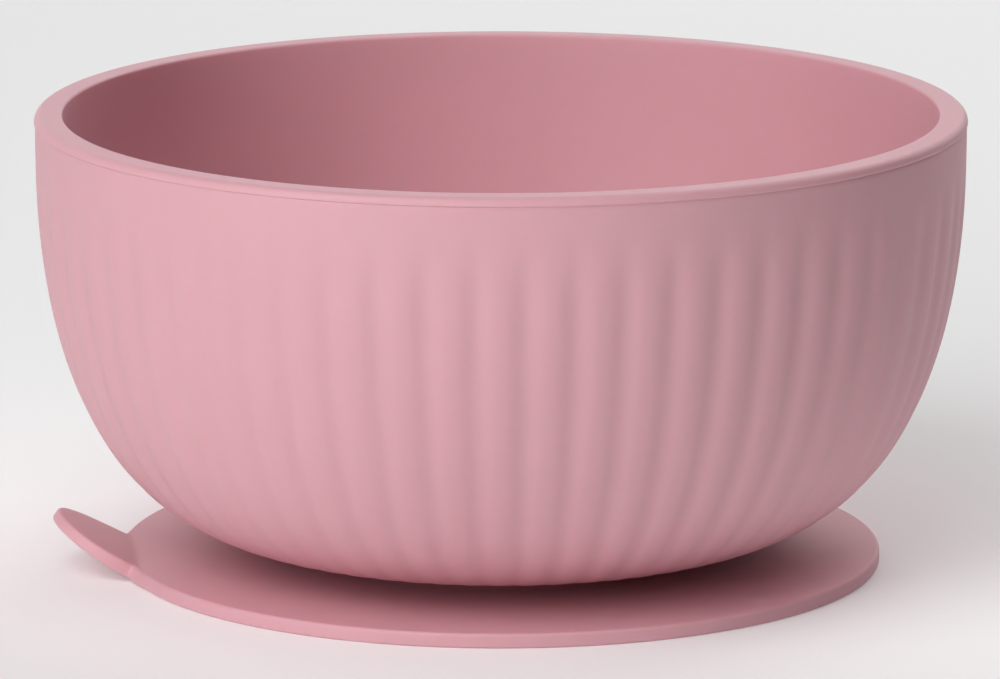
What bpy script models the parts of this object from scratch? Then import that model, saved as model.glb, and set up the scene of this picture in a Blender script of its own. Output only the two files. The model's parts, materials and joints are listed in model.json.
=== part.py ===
"""Ribbed silicone bowl standing on a suction base with a pull tab.

Metres, +Z up. The origin is the centre of the base's underside, where the bowl stands.
The suction base is one moulding that bends in three places, so its flange, its diaphragm,
its neck and its pull tab are separate solids here. The tab points towards -X, turned a
little towards -Y.
"""

import math

import bmesh
import bpy

MM = 0.001
GAP = 0.3 * MM

# Bowl, outside
HEIGHT = 61.6 * MM
RIM_RADIUS = 62.5 * MM
SHOULDER = 1.0 * MM
WALL_RADIUS = 62.4 * MM
WALL_TOP = 55.5 * MM
WALL_BELLY = 40.3 * MM
UNDERSIDE_REACH = 59.1 * MM
UNDERSIDE_RADIUS = 28.6 * MM
UNDERSIDE_Z = 3.9 * MM

# Bowl, inside
INNER_RADIUS = 58.7 * MM
INNER_REACH = 55.0 * MM
INNER_EDGE = 0.3 * MM
FLOOR_RADIUS = 27.0 * MM
FLOOR_Z = 7.9 * MM

# Ribs round the bowl
RIBS = 60
RIB_DEPTH = 0.37 * MM
RIB_SHARPNESS = 1.5
RIB_FADE_TOP = 58.0 * MM
RIB_FADE_END = 46.5 * MM
RIB_INNER_RADIUS = 32.0 * MM
RIB_FULL_RADIUS = 40.0 * MM

# Neck, and the seat in the bowl's underside that it stands in
SEAT_RADIUS = 25.5 * MM
SEAT_TAPER = 0.8 * MM
SEAT_Z = 5.0 * MM
NECK_RADIUS = 22.0 * MM
NECK_WAIST = 0.5 * MM

# Suction base
FLANGE_RADIUS = 51.2 * MM
FLANGE_THICKNESS = 2.0 * MM
FLANGE_EDGE = 0.5 * MM
SEALING_LAND_INNER = 43.0 * MM
FLANGE_INNER = 36.0 * MM
HOLLOW_AT_FLANGE = 0.7 * MM
HOLLOW_DEPTH = 1.5 * MM
DIAPHRAGM_TOP = 2.6 * MM
DIAPHRAGM_FLAT_RADIUS = 24.0 * MM

# Pull tab, in its own frame: +X out of the base and +Y along its hinge
TAB_DIRECTION = math.radians(186.0)
TAB_LIFT = math.radians(34.0)
TAB_HINGE_RADIUS = 50.7 * MM
TAB_HINGE_Z = 1.0 * MM
TAB_HALF_THICKNESS = 0.85 * MM
TAB_EDGE = 0.7 * MM
TAB_HALF_WIDTH = 9.3 * MM
TAB_STRAIGHT = 1.0 * MM
TAB_LENGTH = 11.4 * MM
NOTCH_WALL = 49.4 * MM
NOTCH_HALF_WIDTH = 9.65 * MM

# Mesh density
BOWL_STEPS = 3 * RIBS
CAVITY_STEPS = 72
FLANGE_STEPS = 96
CORE_STEPS = 72

COLOURS = {
    "bowl": (0.66, 0.36, 0.40, 1.0),
    "base": (0.63, 0.34, 0.38, 1.0),
}


def clear_scene():
    for old in list(bpy.data.objects):
        bpy.data.objects.remove(old, do_unlink=True)


def new_collection(name):
    collection = bpy.data.collections.new(name)
    bpy.context.scene.collection.children.link(collection)
    return collection


def silicone(name, colour):
    material = bpy.data.materials.new(name)
    material.use_nodes = True
    shader = material.node_tree.nodes["Principled BSDF"]
    shader.inputs["Base Color"].default_value = colour
    shader.inputs["Roughness"].default_value = 0.6
    shader.inputs["Metallic"].default_value = 0.0
    return material


def blend(value, start, end):
    """0 at start and before it, 1 at end and past it, and smooth between them."""
    t = min(max((value - start) / (end - start), 0.0), 1.0)
    return t * t * (3.0 - 2.0 * t)


def bezier(points, count):
    """count + 1 points along one cubic curve in the (radius, height) plane."""
    result = []
    for i in range(count + 1):
        t = i / count
        weights = ((1 - t) ** 3, 3 * t * (1 - t) ** 2, 3 * t * t * (1 - t), t**3)
        result.append(tuple(sum(w * p[k] for w, p in zip(weights, points)) for k in (0, 1)))
    return result


def arc(centre, radius, start, end, count):
    """count + 1 points of an arc, with its angles in degrees from +X."""
    result = []
    for i in range(count + 1):
        angle = math.radians(start + (end - start) * i / count)
        result.append((centre[0] + radius * math.cos(angle), centre[1] + radius * math.sin(angle)))
    return result


def turned(name, profile, steps, collection, closed=False):
    """A solid turned about Z from (radius, height) points that run down its outer side."""
    mesh = bpy.data.meshes.new(name)
    edges = [(i, i + 1) for i in range(len(profile) - 1)]
    if closed:
        edges.append((len(profile) - 1, 0))
    mesh.from_pydata([(r, 0.0, z) for r, z in profile], edges, [])
    piece = bpy.data.objects.new(name, mesh)
    collection.objects.link(piece)
    screw = piece.modifiers.new("turn", "SCREW")
    screw.steps = steps
    screw.render_steps = steps
    screw.use_merge_vertices = True
    screw.merge_threshold = 0.00001
    return piece


def apply_modifiers(piece):
    """Gives the piece its evaluated mesh, so that its points can be moved."""
    evaluated = piece.evaluated_get(bpy.context.evaluated_depsgraph_get())
    mesh = bpy.data.meshes.new_from_object(evaluated)
    piece.modifiers.clear()
    piece.data = mesh
    mesh.name = piece.name


def cut(piece, cutter):
    boolean = piece.modifiers.new(cutter.name, "BOOLEAN")
    boolean.operation = "DIFFERENCE"
    boolean.solver = "EXACT"
    boolean.object = cutter
    cutter.display_type = "WIRE"
    cutter.hide_render = True


def finish_piece(piece, material):
    piece.data.materials.clear()
    piece.data.materials.append(material)
    piece.data.shade_smooth()
    piece.data.set_sharp_from_angle(angle=math.radians(40.0))


def rib_cut(angle, radius, z):
    """How far the grooves, which are narrower than the ribs, reach in. A crest faces -Y."""
    across = (0.5 - 0.5 * math.cos(RIBS * (angle + math.pi / 2))) ** RIB_SHARPNESS
    down = blend(z, RIB_FADE_TOP, RIB_FADE_END)
    outward = blend(radius, RIB_INNER_RADIUS, RIB_FULL_RADIUS)
    return RIB_DEPTH * across * down * outward


def carve_ribs(piece):
    shape = bmesh.new()
    shape.from_mesh(piece.data)
    for vertex in shape.verts:
        radius = math.hypot(vertex.co.x, vertex.co.y)
        if radius > RIB_INNER_RADIUS:
            angle = math.atan2(vertex.co.y, vertex.co.x)
            scale = 1.0 - rib_cut(angle, radius, vertex.co.z) / radius
            vertex.co.x *= scale
            vertex.co.y *= scale
    shape.to_mesh(piece.data)
    shape.free()


def make_bowl(parts, cutters, material):
    """The ribbed bowl, with its inside cut out and a shallow seat under it for the neck."""
    outer = [(0.0, HEIGHT)]
    outer += arc((RIM_RADIUS - SHOULDER, HEIGHT - SHOULDER), SHOULDER, 90.0, 0.0, 3)
    wall = (
        (WALL_RADIUS, WALL_TOP),
        (WALL_RADIUS, WALL_BELLY),
        (UNDERSIDE_REACH, UNDERSIDE_Z),
        (UNDERSIDE_RADIUS, UNDERSIDE_Z),
    )
    outer += bezier(wall, 12)
    outer.append((0.0, UNDERSIDE_Z))
    bowl = turned("bowl", outer, BOWL_STEPS, parts)
    # A third of a pitch between points puts two on each rib's crest and one in each groove.
    bowl.rotation_euler.z = math.pi / 2 + math.pi / BOWL_STEPS
    apply_modifiers(bowl)
    bowl.data.transform(bowl.matrix_basis)
    bowl.rotation_euler.z = 0.0
    carve_ribs(bowl)

    above = HEIGHT + 2 * MM
    inner = [(0.0, above), (INNER_RADIUS + INNER_EDGE, above)]
    inner.append((INNER_RADIUS + INNER_EDGE, HEIGHT))
    inner.append((INNER_RADIUS, HEIGHT - INNER_EDGE))
    side = (
        (INNER_RADIUS, WALL_TOP),
        (INNER_RADIUS, WALL_BELLY),
        (INNER_REACH, FLOOR_Z),
        (FLOOR_RADIUS, FLOOR_Z),
    )
    inner += bezier(side, 9)
    inner.append((0.0, FLOOR_Z))
    cut(bowl, turned("bowl_cavity", inner, CAVITY_STEPS, cutters))

    below = UNDERSIDE_Z - 1 * MM
    seat = [(0.0, SEAT_Z), (SEAT_RADIUS, SEAT_Z)]
    seat.append((SEAT_RADIUS + SEAT_TAPER, below))
    seat.append((0.0, below))
    cut(bowl, turned("neck_seat", seat, CORE_STEPS, cutters))
    finish_piece(bowl, material)


def make_neck(parts, material):
    """The short column that joins the bowl to the suction base, with a slight waist."""
    top = SEAT_Z - GAP
    bottom = DIAPHRAGM_TOP + GAP
    middle = (top + bottom) / 2
    half = (top - bottom) / 2
    profile = [(0.0, top)]
    for i in range(5):
        t = i / 2 - 1.0
        radius = NECK_RADIUS - NECK_WAIST * (1.0 - t * t)
        profile.append((radius, middle - t * half))
    profile.append((0.0, bottom))
    finish_piece(turned("neck", profile, CORE_STEPS, parts), material)


def make_diaphragm(parts, material):
    """The thin dome in the middle of the base, which presses flat to push the air out."""
    edge = FLANGE_INNER - GAP
    top = (
        (DIAPHRAGM_FLAT_RADIUS, DIAPHRAGM_TOP),
        (DIAPHRAGM_FLAT_RADIUS + 4 * MM, DIAPHRAGM_TOP),
        (edge - 4 * MM, FLANGE_THICKNESS),
        (edge, FLANGE_THICKNESS),
    )
    hollow = (
        (edge, HOLLOW_AT_FLANGE),
        (edge - 4 * MM, HOLLOW_AT_FLANGE + 0.4 * MM),
        (DIAPHRAGM_FLAT_RADIUS, HOLLOW_DEPTH),
        (DIAPHRAGM_FLAT_RADIUS - 8 * MM, HOLLOW_DEPTH),
    )
    profile = [(0.0, DIAPHRAGM_TOP)] + bezier(top, 4) + bezier(hollow, 4)
    profile.append((0.0, HOLLOW_DEPTH))
    finish_piece(turned("suction_diaphragm", profile, CORE_STEPS, parts), material)


def make_flange(parts, cutters, material):
    """The flat outer ring that seals on the table, notched where the tab bends."""
    corner = FLANGE_RADIUS - FLANGE_EDGE
    profile = [(FLANGE_INNER, FLANGE_THICKNESS)]
    profile += arc((corner, FLANGE_THICKNESS - FLANGE_EDGE), FLANGE_EDGE, 90.0, 0.0, 3)
    profile += arc((corner, FLANGE_EDGE), FLANGE_EDGE, 0.0, -90.0, 3)
    profile.append((SEALING_LAND_INNER, 0.0))
    profile.append((FLANGE_INNER, HOLLOW_AT_FLANGE))
    flange = turned("suction_flange", profile, FLANGE_STEPS, parts, closed=True)

    bpy.ops.mesh.primitive_cube_add(size=1.0)
    notch = bpy.context.object
    notch.name = "tab_notch"
    notch.data.name = "tab_notch"
    depth = FLANGE_RADIUS - NOTCH_WALL + 2 * MM
    middle = NOTCH_WALL + depth / 2
    notch.dimensions = (depth, 2 * NOTCH_HALF_WIDTH, 4 * FLANGE_THICKNESS)
    notch.location = (middle * math.cos(TAB_DIRECTION), middle * math.sin(TAB_DIRECTION), 0.0)
    notch.rotation_euler.z = TAB_DIRECTION
    for holder in list(notch.users_collection):
        holder.objects.unlink(notch)
    cutters.objects.link(notch)
    cut(flange, notch)
    finish_piece(flange, material)


def tab_outline():
    """Straight sides from the hinge, then half an ellipse round the tip."""
    reach = TAB_LENGTH - TAB_STRAIGHT
    points = [(-TAB_HALF_THICKNESS, TAB_HALF_WIDTH), (-TAB_HALF_THICKNESS, -TAB_HALF_WIDTH)]
    turns = 16
    for i in range(turns + 1):
        angle = math.pi * (i / turns - 0.5)
        x = TAB_STRAIGHT + reach * math.cos(angle)
        points.append((x, TAB_HALF_WIDTH * math.sin(angle)))
    return points


def make_tab(parts, material):
    """The pull tab, a rounded tongue whose origin is on its hinge line."""
    curve = bpy.data.curves.new("pull_tab", "CURVE")
    curve.dimensions = "2D"
    curve.fill_mode = "BOTH"
    curve.extrude = TAB_HALF_THICKNESS
    spline = curve.splines.new("POLY")
    outline = tab_outline()
    spline.points.add(len(outline) - 1)
    for point, (x, y) in zip(spline.points, outline):
        point.co = (x, y, 0.0, 1.0)
    spline.use_cyclic_u = True
    curve.materials.append(material)

    tab = bpy.data.objects.new("pull_tab", curve)
    parts.objects.link(tab)
    weld = tab.modifiers.new("weld caps", "WELD")
    weld.merge_threshold = 0.00001
    rounding = tab.modifiers.new("round edges", "BEVEL")
    rounding.width = TAB_EDGE
    rounding.segments = 3
    rounding.limit_method = "ANGLE"
    rounding.angle_limit = math.radians(60.0)
    rounding.use_clamp_overlap = False
    tab.location = (
        TAB_HINGE_RADIUS * math.cos(TAB_DIRECTION),
        TAB_HINGE_RADIUS * math.sin(TAB_DIRECTION),
        TAB_HINGE_Z,
    )
    tab.rotation_euler = (0.0, -TAB_LIFT, TAB_DIRECTION)


def main():
    clear_scene()
    parts = new_collection("suction_bowl")
    cutters = new_collection("cutters")
    bowl_silicone = silicone("bowl_silicone", COLOURS["bowl"])
    base_silicone = silicone("base_silicone", COLOURS["base"])
    make_bowl(parts, cutters, bowl_silicone)
    make_neck(parts, base_silicone)
    make_diaphragm(parts, base_silicone)
    make_flange(parts, cutters, base_silicone)
    make_tab(parts, base_silicone)


main()
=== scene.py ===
"""Looks for a ribbed silicone bowl on a suction base with a pull tab.

Lengths are in metres unless a name says otherwise. The shapes are built from a few driving
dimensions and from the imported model's own boxes and joints.
"""

import json
import math

import bpy
import numpy as np
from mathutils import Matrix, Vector


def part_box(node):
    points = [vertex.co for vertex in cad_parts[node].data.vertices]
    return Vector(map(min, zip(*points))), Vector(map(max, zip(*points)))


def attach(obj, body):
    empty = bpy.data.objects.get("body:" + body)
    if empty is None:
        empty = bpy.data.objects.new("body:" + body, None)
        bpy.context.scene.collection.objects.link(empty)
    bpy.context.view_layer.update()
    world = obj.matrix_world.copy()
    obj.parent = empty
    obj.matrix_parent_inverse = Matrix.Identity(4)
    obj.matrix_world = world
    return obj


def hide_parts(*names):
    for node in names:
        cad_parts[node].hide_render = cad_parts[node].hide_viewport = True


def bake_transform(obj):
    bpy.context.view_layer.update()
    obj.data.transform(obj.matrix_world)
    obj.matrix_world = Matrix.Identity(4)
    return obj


MM = 0.001

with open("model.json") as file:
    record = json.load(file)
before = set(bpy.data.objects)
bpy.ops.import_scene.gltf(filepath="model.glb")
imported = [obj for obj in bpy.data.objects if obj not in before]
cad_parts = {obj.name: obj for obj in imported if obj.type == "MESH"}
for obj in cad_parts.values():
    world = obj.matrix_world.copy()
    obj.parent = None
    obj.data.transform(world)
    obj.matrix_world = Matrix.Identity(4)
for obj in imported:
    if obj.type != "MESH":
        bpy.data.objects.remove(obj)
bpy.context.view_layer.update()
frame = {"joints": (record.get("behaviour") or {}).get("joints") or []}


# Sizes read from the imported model
BOWL_LOW, BOWL_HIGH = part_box("bowl")
RIM_RADIUS = BOWL_HIGH.x
HEIGHT = BOWL_HIGH.z
UNDERSIDE_Z = BOWL_LOW.z
FLANGE_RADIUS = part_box("suction_flange")[1].x
FLANGE_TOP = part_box("suction_flange")[1].z
DOME_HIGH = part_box("suction_diaphragm")[1]
NECK_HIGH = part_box("neck")[1]
NECK_RADIUS = NECK_HIGH.x
TAB_JOINT = next(joint for joint in frame["joints"] if joint["name"] == "tab_lift")
TAB_OUT = Vector(TAB_JOINT["axis"]).cross(Vector((0.0, 0.0, 1.0))) * -1.0

# Bowl, outside
SHOULDER = 1.0 * MM
PARTING_DROP = 1.1 * MM
BAND_PROUD = 0.12 * MM
# The parting line's small step: how far in from the rim and how far below the line
PARTING_STEP = (
    (0.0, -0.03 * MM),
    (0.02 * MM, 0.03 * MM),
    (0.14 * MM, 0.08 * MM),
    (0.18 * MM, 0.14 * MM),
    (0.15 * MM, 0.22 * MM),
    (BAND_PROUD, 0.35 * MM),
)
WALL_TOP = 55.5 * MM
WALL_BELLY = 40.3 * MM
UNDERSIDE_REACH = 59.1 * MM
UNDERSIDE_RADIUS = 28.6 * MM

# Bowl, inside
INNER_RADIUS = 58.7 * MM
INNER_REACH = 55.0 * MM
INNER_EDGE = 0.35 * MM
FLOOR_RADIUS = 27.0 * MM
FLOOR_Z = 7.9 * MM

# Seat in the bowl's underside, which the neck stands in
SEAT_RADIUS = NECK_RADIUS + 3.9 * MM
SEAT_TAPER = 0.4 * MM
SEAT_Z = NECK_HIGH.z + 0.3 * MM
SEAT_EDGE = 0.5 * MM
SEAT_FLAT_RADIUS = NECK_RADIUS - 4.0 * MM

# Ribs
RIBS = 60
RIB_DEPTH = 0.37 * MM
RIB_SHARPNESS = 1.5
RIB_FADE_TOP = 58.0 * MM
RIB_FADE_END = 46.5 * MM
RIB_INNER_RADIUS = 32.0 * MM
RIB_FULL_RADIUS = 40.0 * MM
COLUMNS_PER_RIB = 12

# Suction base
NECK_TOP = NECK_HIGH.z + 0.38 * MM
NECK_FLARE = 0.3 * MM
NECK_FILLET = 0.8 * MM
DOME_ROUNDING = 1.5 * MM
SEAM_RADIUS = 28.0 * MM
SEAM_ROUNDING = 2.0 * MM
SEALING_LAND_INNER = 43.0 * MM
FLANGE_EDGE = 0.45 * MM
HOLLOW_AT_SEAM = 1.3 * MM
HOLLOW_DEPTH = 1.5 * MM
HOLLOW_EASE = 4.0 * MM

# The flange's top: rings out to the fan, from where the columns run straight to the outline
TOP_RINGS = (0.0, 0.15, 0.4, 0.7, 0.9, 1.0)
FAN_RADIUS = 48.8 * MM
FAN_STEPS = 30
FAN_SPREAD = 1.5
LAND_STEPS = 16
FLANGE_COLUMNS = 420

# Pull tab, laid flat: measured outwards from the axis of the bowl, then bent up
TAB_CREASE = 49.1 * MM
TAB_BEND = 1.0 * MM
TAB_ROOT_ANGLE = math.radians(27.0)
TAB_TIP_ANGLE = math.radians(34.5)
TAB_HALF_WIDTH = 9.45 * MM
TAB_STRAIGHT = 51.2 * MM
TAB_TIP = 61.5 * MM
TAB_TIP_COLUMNS = 56
TAB_TIP_THICKNESS = 1.6 * MM
TAB_FILLET = 0.6 * MM

SHARP_ANGLE = math.radians(55.0)

# Silicone: noise scales are in cycles per metre
SILICONE_COLOUR = (0.72, 0.385, 0.435)
SILICONE_ROUGHNESS = 0.6
CLOUD_SCALE = 28.0
SPECK_SCALE = 2400.0
HANDLING_SCALE = 60.0
GRAIN_SCALE = 3800.0
GRAIN_HEIGHT = 0.02 * MM
PEEL_SCALE = 420.0
PEEL_HEIGHT = 0.06 * MM
# Painted highlight: the sharp convex edges blend this share of the way towards this pale grey
EDGE_HIGHLIGHT_SHARE = 0.25
EDGE_HIGHLIGHT_GREY = 0.85

# Softboxes: name, azimuth from the front (positive to the right), elevation, diameter, power
SOFTBOXES = (
    ("key", -45.0, 42.0, 0.9, 5.3),
    ("key_side", -20.0, 42.0, 0.9, 2.55),
    ("low_fill", -35.0, 12.0, 0.5, 3.45),
    ("overhead", 0.0, 75.0, 0.9, 2.4),
    ("back_right", 150.0, 42.0, 0.9, 4.3),
)
SOFTBOX_DISTANCE = 1.2
# A wide pale panel behind the object, which the grazing surfaces mirror
BACKDROP_SIZE = (2.6, 0.9)
BACKDROP_PLACE = (0.0, 1.4, 0.46)
BACKDROP_POWER = 10.6
WORLD_LIGHT = 0.01
WHITE = (1.0, 1.0, 1.0, 1.0)

FLOOR_SIZE = 8.0
FLOOR_TONES = (0.88, 0.9)
FLOOR_GLOW = 0.12

CAMERA_BACK = 1.0797
CAMERA_UP = 0.2590
CAMERA_DOWN_TILT = 0.2089
CAMERA_LENS_MM = 294.8
CAMERA_SENSOR_MM = 36.0
CAMERA_SHIFT = -0.00096


# ---------------------------------------------------------------- outline helpers

def blend(value, start, end):
    """0 at start and before it, 1 at end and past it, and smooth between them."""
    t = min(max((value - start) / (end - start), 0.0), 1.0)
    return t * t * (3.0 - 2.0 * t)


def bezier(points, count):
    """count + 1 points along one cubic curve in the (radius, height) plane."""
    result = []
    for i in range(count + 1):
        t = i / count
        weights = ((1 - t) ** 3, 3 * t * (1 - t) ** 2, 3 * t * t * (1 - t), t**3)
        result.append(tuple(sum(w * p[k] for w, p in zip(weights, points)) for k in (0, 1)))
    return result


def arc(centre, radius, start, end, count):
    """count + 1 points of an arc, with its angles in degrees from +X."""
    result = []
    for i in range(count + 1):
        angle = math.radians(start + (end - start) * i / count)
        result.append((centre[0] + radius * math.cos(angle), centre[1] + radius * math.sin(angle)))
    return result


def line(start, end, count):
    """The count points that cut the way from start to end into equal steps, end included."""
    return [
        tuple(a + (b - a) * i / count for a, b in zip(start, end)) for i in range(1, count + 1)
    ]


def mesh_object(name, points, faces, material):
    mesh = bpy.data.meshes.new(name)
    mesh.from_pydata(points, [], faces)
    mesh.validate()
    mesh.materials.append(material)
    mesh.shade_smooth()
    mesh.set_sharp_from_angle(angle=SHARP_ANGLE)
    piece = bpy.data.objects.new(name, mesh)
    bpy.context.scene.collection.objects.link(piece)
    return piece


def turned(name, profile, columns, material, cut=None, cut_rows=()):
    """A closed solid turned about Z.

    The profile runs from the axis over the top, down the outer side and back to the axis.
    cut(angle, radius, height) is how far a point of the profile's cut_rows moves in.
    """
    points = [(0.0, 0.0, profile[0][1])]
    for row, (radius, height) in enumerate(profile[1:-1], 1):
        for i in range(columns):
            angle = 2 * math.pi * i / columns
            here = radius - (cut(angle, radius, height) if row in cut_rows else 0.0)
            points.append((here * math.cos(angle), here * math.sin(angle), height))
    points.append((0.0, 0.0, profile[-1][1]))
    rows = len(profile) - 2
    last = len(points) - 1
    faces = []
    for i in range(columns):
        j = (i + 1) % columns
        faces.append((0, 1 + i, 1 + j))
        for row in range(rows - 1):
            top = 1 + row * columns
            low = top + columns
            faces.append((top + i, low + i, low + j, top + j))
        bottom = 1 + (rows - 1) * columns
        faces.append((last, bottom + j, bottom + i))
    return mesh_object(name, points, faces, material)


# ---------------------------------------------------------------- materials

def silicone(name, colour, roughness):
    """Matte moulded silicone.

    It is a little translucent, mottled very slightly, and finely textured by its mould. Its sharp
    convex edges carry a painted highlight.
    """
    material = bpy.data.materials.new(name)
    material.use_nodes = True
    tree = material.node_tree
    nodes = tree.nodes
    links = tree.links
    shader = nodes["Principled BSDF"]
    place = nodes.new("ShaderNodeTexCoord")

    def noise(scale, detail, rough):
        node = nodes.new("ShaderNodeTexNoise")
        node.inputs["Scale"].default_value = scale
        node.inputs["Detail"].default_value = detail
        node.inputs["Roughness"].default_value = rough
        links.new(place.outputs["Object"], node.inputs["Vector"])
        return node.outputs["Fac"]

    def ramp(value, low, high, low_out, high_out):
        node = nodes.new("ShaderNodeMapRange")
        node.inputs["From Min"].default_value = low
        node.inputs["From Max"].default_value = high
        node.inputs["To Min"].default_value = low_out
        node.inputs["To Max"].default_value = high_out
        links.new(value, node.inputs["Value"])
        return node.outputs["Result"]

    def mix(factor, first, second):
        node = nodes.new("ShaderNodeMix")
        node.data_type = "RGBA"
        links.new(factor, node.inputs["Factor"])
        for socket, value in ((node.inputs["A"], first), (node.inputs["B"], second)):
            if isinstance(value, tuple):
                socket.default_value = value
            else:
                links.new(value, socket)
        return node.outputs["Result"]

    def tint(factor):
        return tuple(min(1.0, channel * factor) for channel in colour) + (1.0,)

    clouds = ramp(noise(CLOUD_SCALE, 3.0, 0.5), 0.3, 0.7, 0.0, 1.0)
    pigment = mix(clouds, tint(0.975), tint(1.02))
    specks = ramp(noise(SPECK_SCALE, 2.0, 0.6), 0.62, 0.75, 0.0, 0.35)
    speckled = mix(specks, pigment, tint(0.93))
    # Painted highlight: the sharpest convex edges are lightened towards a pale grey, as if they
    # caught the light
    edges = nodes.new("ShaderNodeNewGeometry").outputs["Pointiness"]
    edge_highlight_mask = ramp(edges, 0.53, 0.62, 0.0, 0.35)
    kept = 1.0 - EDGE_HIGHLIGHT_SHARE
    edge_highlight_colour = tuple(kept * channel + EDGE_HIGHLIGHT_SHARE * EDGE_HIGHLIGHT_GREY for channel in colour) + (1.0,)
    links.new(mix(edge_highlight_mask, speckled, edge_highlight_colour), shader.inputs["Base Color"])

    smears = noise(HANDLING_SCALE, 4.0, 0.6)
    handling = ramp(smears, 0.3, 0.7, roughness - 0.04, roughness + 0.05)
    links.new(handling, shader.inputs["Roughness"])

    grain = nodes.new("ShaderNodeBump")
    grain.inputs["Strength"].default_value = 0.25
    grain.inputs["Distance"].default_value = GRAIN_HEIGHT
    links.new(noise(GRAIN_SCALE, 3.0, 0.6), grain.inputs["Height"])
    peel = nodes.new("ShaderNodeBump")
    peel.inputs["Strength"].default_value = 0.3
    peel.inputs["Distance"].default_value = PEEL_HEIGHT
    links.new(noise(PEEL_SCALE, 2.0, 0.5), peel.inputs["Height"])
    links.new(peel.outputs["Normal"], grain.inputs["Normal"])
    links.new(grain.outputs["Normal"], shader.inputs["Normal"])

    shader.inputs["Subsurface Weight"].default_value = 0.3
    shader.inputs["Subsurface Radius"].default_value = (1.0, 0.45, 0.4)
    shader.inputs["Subsurface Scale"].default_value = 2.0 * MM
    shader.inputs["Specular IOR Level"].default_value = 0.72
    return material


def floor_material():
    """A matte white studio sweep with a faint tooth."""
    material = bpy.data.materials.new("studio_floor")
    material.use_nodes = True
    nodes = material.node_tree.nodes
    shader = nodes["Principled BSDF"]
    grain = nodes.new("ShaderNodeTexNoise")
    grain.inputs["Scale"].default_value = 30.0
    tone = nodes.new("ShaderNodeMapRange")
    tone.inputs["To Min"].default_value, tone.inputs["To Max"].default_value = FLOOR_TONES
    material.node_tree.links.new(grain.outputs["Fac"], tone.inputs["Value"])
    material.node_tree.links.new(tone.outputs["Result"], shader.inputs["Base Color"])
    shader.inputs["Roughness"].default_value = 0.9
    shader.inputs["Specular IOR Level"].default_value = 0.1
    shader.inputs["Emission Color"].default_value = WHITE
    shader.inputs["Emission Strength"].default_value = FLOOR_GLOW
    return material


# ---------------------------------------------------------------- the bowl

def rib_cut(angle, radius, height):
    """How far the grooves, which are narrower than the ribs, reach in. A crest faces -Y."""
    across = (0.5 - 0.5 * math.cos(RIBS * (angle + math.pi / 2))) ** RIB_SHARPNESS
    down = blend(height, RIB_FADE_TOP, RIB_FADE_END)
    outward = blend(radius, RIB_INNER_RADIUS, RIB_FULL_RADIUS)
    return RIB_DEPTH * across * down * outward


def bowl_inside():
    """From the floor's centre up the inside to the rim's inner edge."""
    wall = (
        (FLOOR_RADIUS, FLOOR_Z),
        (INNER_REACH, FLOOR_Z),
        (INNER_RADIUS, WALL_BELLY),
        (INNER_RADIUS, WALL_TOP),
    )
    points = [(0.0, FLOOR_Z)] + line((0.0, FLOOR_Z), (FLOOR_RADIUS, FLOOR_Z), 6)
    points += bezier(wall, 40)[1:]
    edge = (INNER_RADIUS + INNER_EDGE, HEIGHT - INNER_EDGE)
    points += line((INNER_RADIUS, WALL_TOP), (INNER_RADIUS, edge[1]), 6)
    points += arc(edge, INNER_EDGE, 180.0, 90.0, 6)[1:]
    return points


def bowl_outside():
    """From the rim's flat top over the shoulder and the parting line to the underside."""
    corner = (RIM_RADIUS - SHOULDER, HEIGHT - SHOULDER)
    parting = HEIGHT - PARTING_DROP
    wall_radius = RIM_RADIUS - BAND_PROUD
    points = line((INNER_RADIUS + INNER_EDGE, HEIGHT), (corner[0], HEIGHT), 3)
    points += arc(corner, SHOULDER, 90.0, 0.0, 12)[1:]
    points += [(RIM_RADIUS - inward, parting - below) for inward, below in PARTING_STEP]
    points += line(points[-1], (wall_radius, WALL_TOP), 8)
    wall = (
        (wall_radius, WALL_TOP),
        (wall_radius, WALL_BELLY),
        (UNDERSIDE_REACH, UNDERSIDE_Z),
        (UNDERSIDE_RADIUS, UNDERSIDE_Z),
    )
    points += bezier(wall, 60)[1:]
    return points


def bowl_underside():
    """From the underside in to the shallow seat that the neck stands in."""
    mouth = (SEAT_RADIUS + SEAT_TAPER + SEAT_EDGE, UNDERSIDE_Z + SEAT_EDGE)
    corner = (SEAT_RADIUS - SEAT_EDGE, SEAT_Z - SEAT_EDGE)
    points = arc(mouth, SEAT_EDGE, 270.0, 180.0, 4)
    points += arc(corner, SEAT_EDGE, 0.0, 90.0, 4)
    points += [(SEAT_FLAT_RADIUS, SEAT_Z), (0.0, SEAT_Z)]
    return points


def make_bowl(material):
    inside = bowl_inside()
    outside = bowl_outside()
    profile = inside + outside + bowl_underside()
    ribbed = range(len(inside), len(inside) + len(outside))
    bowl = turned("bowl_shell", profile, RIBS * COLUMNS_PER_RIB, material, rib_cut, ribbed)
    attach(bowl, "bowl")
    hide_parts("bowl")


# ---------------------------------------------------------------- the suction base

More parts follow.
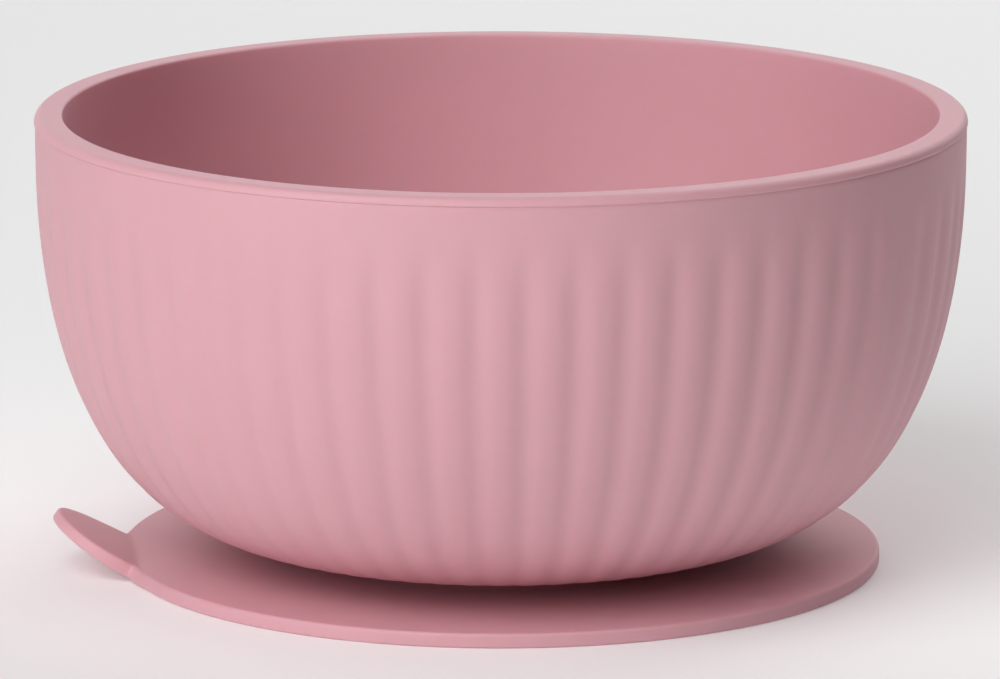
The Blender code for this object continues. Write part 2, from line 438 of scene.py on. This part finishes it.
def make_foot(material):
    """The neck and the thin dome under it, in one skin."""
    neck_low = DOME_HIGH.z + NECK_FILLET
    profile = [(0.0, NECK_TOP)]
    profile += line((0.0, NECK_TOP), (NECK_RADIUS + NECK_FLARE, NECK_TOP), 4)
    profile += line(profile[-1], (NECK_RADIUS, neck_low), 4)
    profile += arc((NECK_RADIUS + NECK_FILLET, neck_low), NECK_FILLET, 180.0, 270.0, 6)[1:]
    top = (
        profile[-1],
        (profile[-1][0] + DOME_ROUNDING, DOME_HIGH.z),
        (SEAM_RADIUS - SEAM_ROUNDING, FLANGE_TOP),
        (SEAM_RADIUS, FLANGE_TOP),
    )
    hollow = (
        (SEAM_RADIUS, HOLLOW_AT_SEAM),
        (SEAM_RADIUS - HOLLOW_EASE, HOLLOW_DEPTH),
        (SEAM_RADIUS - 2 * HOLLOW_EASE, HOLLOW_DEPTH),
        (SEAM_RADIUS - 3 * HOLLOW_EASE, HOLLOW_DEPTH),
    )
    profile += bezier(top, 12)[1:] + bezier(hollow, 12)
    profile += line(profile[-1], (0.0, hollow[-1][1]), 4)
    foot = turned("suction_foot", profile, 144, material)
    # Above the flange's top the skin follows the bowl, and the dome between them dips.
    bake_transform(foot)
    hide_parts("suction_diaphragm", "neck")


def plan_outline():
    """The flat outline of the flange with its tab: (u, v) points, u outwards along the tab.

    Each point comes with its door, the angle at which its column crosses the fan's circle.
    """
    centre_v = TAB_HALF_WIDTH + TAB_FILLET
    centre_u = math.sqrt((FLANGE_RADIUS + TAB_FILLET) ** 2 - centre_v**2)
    root = math.atan2(centre_v, centre_u)

    side = arc((centre_u, centre_v), TAB_FILLET, math.degrees(root) - 180.0, -90.0, 6)
    side += line(side[-1], (TAB_STRAIGHT, TAB_HALF_WIDTH), 12)
    reach = TAB_TIP - TAB_STRAIGHT
    tip = []
    for i in range(1, TAB_TIP_COLUMNS):
        angle = math.pi * (0.5 - i / TAB_TIP_COLUMNS)
        tip.append((TAB_STRAIGHT + reach * math.cos(angle), TAB_HALF_WIDTH * math.sin(angle)))
    tab = side + tip + [(u, -v) for u, v in reversed(side)]

    travelled = [0.0]
    for before, after in zip(tab, tab[1:]):
        travelled.append(travelled[-1] + math.dist(before, after))
    doors = [root * (1.0 - 2.0 * t / travelled[-1]) for t in travelled]

    for i in range(1, FLANGE_COLUMNS):
        angle = -root - (2 * math.pi - 2 * root) * i / FLANGE_COLUMNS
        tab.append((FLANGE_RADIUS * math.cos(angle), FLANGE_RADIUS * math.sin(angle)))
        doors.append(angle)
    return tab, doors


def outward_normals(outline):
    """The outline runs clockwise seen from above, so its outside is on the left."""
    ring = np.array(outline)
    along = np.roll(ring, -1, axis=0) - np.roll(ring, 1, axis=0)
    along /= np.linalg.norm(along, axis=1)[:, None]
    return np.stack([-along[:, 1], along[:, 0]], axis=1)


def bend_tab(u, v, depth):
    """Bends a point of the flat plate up, if it lies past the straight crease.

    depth is measured from the top surface, which turns quickly through the crease and then
    curls on gently to the tip.
    """
    past = u - TAB_CREASE
    if past <= 0.0:
        return u, v, FLANGE_TOP - depth
    length = TAB_TIP - TAB_CREASE
    depth *= 1.0 + (TAB_TIP_THICKNESS / FLANGE_TOP - 1.0) * min(past / length, 1.0)
    along = 0.0
    up = 0.0
    angle = 0.0
    arcs = ((TAB_BEND, TAB_ROOT_ANGLE), (length - TAB_BEND, TAB_TIP_ANGLE - TAB_ROOT_ANGLE))
    for stretch, turn in arcs:
        share = min(max(past, 0.0) / stretch, 1.0)
        radius = stretch / turn
        after = angle + turn * share
        along += radius * (math.sin(after) - math.sin(angle))
        up += radius * (math.cos(angle) - math.cos(after))
        angle = after
        past -= stretch
    return (
        TAB_CREASE + along + depth * math.sin(angle),
        v,
        FLANGE_TOP + up - depth * math.cos(angle),
    )


def base_column(point, normal, door):
    """One column of the skin, from the inner edge over the top and the rim to the underside.

    The third number of each point is its depth below the top surface.
    """
    door_u, door_v = math.cos(door), math.sin(door)
    ring = (FAN_RADIUS * door_u, FAN_RADIUS * door_v)
    shoulder = (point[0] - normal[0] * FLANGE_EDGE, point[1] - normal[1] * FLANGE_EDGE)
    spread = [(i / FAN_STEPS) ** FAN_SPREAD for i in range(1, FAN_STEPS + 1)]
    fan = [tuple(a + (b - a) * s for a, b in zip(ring, shoulder)) for s in spread]

    column = []
    for share in TOP_RINGS:
        radius = SEAM_RADIUS + (FAN_RADIUS - SEAM_RADIUS) * share
        column.append((radius * door_u, radius * door_v, 0.0))
    column += [(u, v, 0.0) for u, v in fan]
    turn = arc((0.0, FLANGE_EDGE), FLANGE_EDGE, -90.0, 0.0, 6)[1:]
    turn += [(x, FLANGE_TOP - depth) for x, depth in reversed(turn)]
    for out, depth in turn:
        column.append((shoulder[0] + normal[0] * out, shoulder[1] + normal[1] * out, depth))
    column += [(u, v, FLANGE_TOP) for u, v in reversed(fan)]
    land = (SEALING_LAND_INNER - SEAM_RADIUS) / (FAN_RADIUS - SEAM_RADIUS)
    for share in [1.0] + [land * i / LAND_STEPS for i in range(LAND_STEPS + 1, -1, -1)]:
        radius = SEAM_RADIUS + (FAN_RADIUS - SEAM_RADIUS) * share
        into = blend(radius, SEALING_LAND_INNER, 2 * SEAM_RADIUS - SEALING_LAND_INNER)
        depth = FLANGE_TOP - 2 * HOLLOW_AT_SEAM * into
        column.append((radius * door_u, radius * door_v, depth))
    return column


def make_base(material):
    """The flange and the pull tab in one skin, as they are moulded."""
    outline, doors = plan_outline()
    normals = outward_normals(outline)
    across = Vector((0.0, 0.0, 1.0)).cross(TAB_OUT)
    points = []
    rows = 0
    for point, normal, door in zip(outline, normals, doors):
        column = base_column(point, normal, door)
        rows = len(column)
        for flat in column:
            u, v, height = bend_tab(*flat)
            place = TAB_OUT * u + across * v
            points.append((place.x, place.y, height))
    columns = len(outline)
    faces = []
    for i in range(columns):
        here = i * rows
        there = (i + 1) % columns * rows
        for row in range(rows):
            below = (row + 1) % rows
            faces.append((here + row, there + row, there + below, here + below))
    base = mesh_object("base_skin", points, faces, material)
    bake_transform(base)
    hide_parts("suction_flange", "pull_tab")


# ---------------------------------------------------------------- the stage

def make_floor():
    bpy.ops.mesh.primitive_plane_add(size=FLOOR_SIZE)
    floor = bpy.context.object
    floor.name = "studio_floor"
    floor.data.materials.append(floor_material())


def area_light(name, shape, power, place, facing):
    """An area light at place, turned so that its back looks along facing."""
    lamp = bpy.data.lights.new(name, "AREA")
    lamp.shape = shape
    lamp.energy = power
    holder = bpy.data.objects.new(name, lamp)
    bpy.context.scene.collection.objects.link(holder)
    holder.location = place
    holder.rotation_euler = facing.to_track_quat("Z", "Y").to_euler()
    holder.visible_camera = False
    return lamp


def make_lights():
    target = Vector((0.0, 0.0, HEIGHT / 2))
    for name, azimuth, elevation, diameter, power in SOFTBOXES:
        side = math.radians(azimuth)
        up = math.radians(elevation)
        away = Vector(
            (math.sin(side) * math.cos(up), -math.cos(side) * math.cos(up), math.sin(up))
        )
        lamp = area_light(name, "DISK", power, target + away * SOFTBOX_DISTANCE, away)
        lamp.size = diameter
    backdrop = area_light(
        "backdrop", "RECTANGLE", BACKDROP_POWER, BACKDROP_PLACE, Vector((0.0, 1.0, 0.0))
    )
    backdrop.size, backdrop.size_y = BACKDROP_SIZE
    world = bpy.data.worlds.new("studio")
    bpy.context.scene.world = world
    world.use_nodes = True
    background = world.node_tree.nodes["Background"]
    background.inputs["Color"].default_value = WHITE
    background.inputs["Strength"].default_value = WORLD_LIGHT


def make_camera():
    lens = bpy.data.cameras.new("camera")
    lens.sensor_width = CAMERA_SENSOR_MM
    lens.lens = CAMERA_LENS_MM
    lens.shift_x = CAMERA_SHIFT
    camera = bpy.data.objects.new("camera", lens)
    bpy.context.scene.collection.objects.link(camera)
    camera.location = (0.0, -CAMERA_BACK, CAMERA_UP)
    camera.rotation_euler = (math.pi / 2 - CAMERA_DOWN_TILT, 0.0, 0.0)
    bpy.context.scene.camera = camera


def main():
    bowl_material = silicone("bowl_silicone", SILICONE_COLOUR, SILICONE_ROUGHNESS)
    base_material = silicone("base_silicone", SILICONE_COLOUR, SILICONE_ROUGHNESS)
    make_bowl(bowl_material)
    make_foot(base_material)
    make_base(base_material)
    make_floor()
    make_lights()
    make_camera()
    bpy.context.scene.view_settings.view_transform = "Standard"


main()
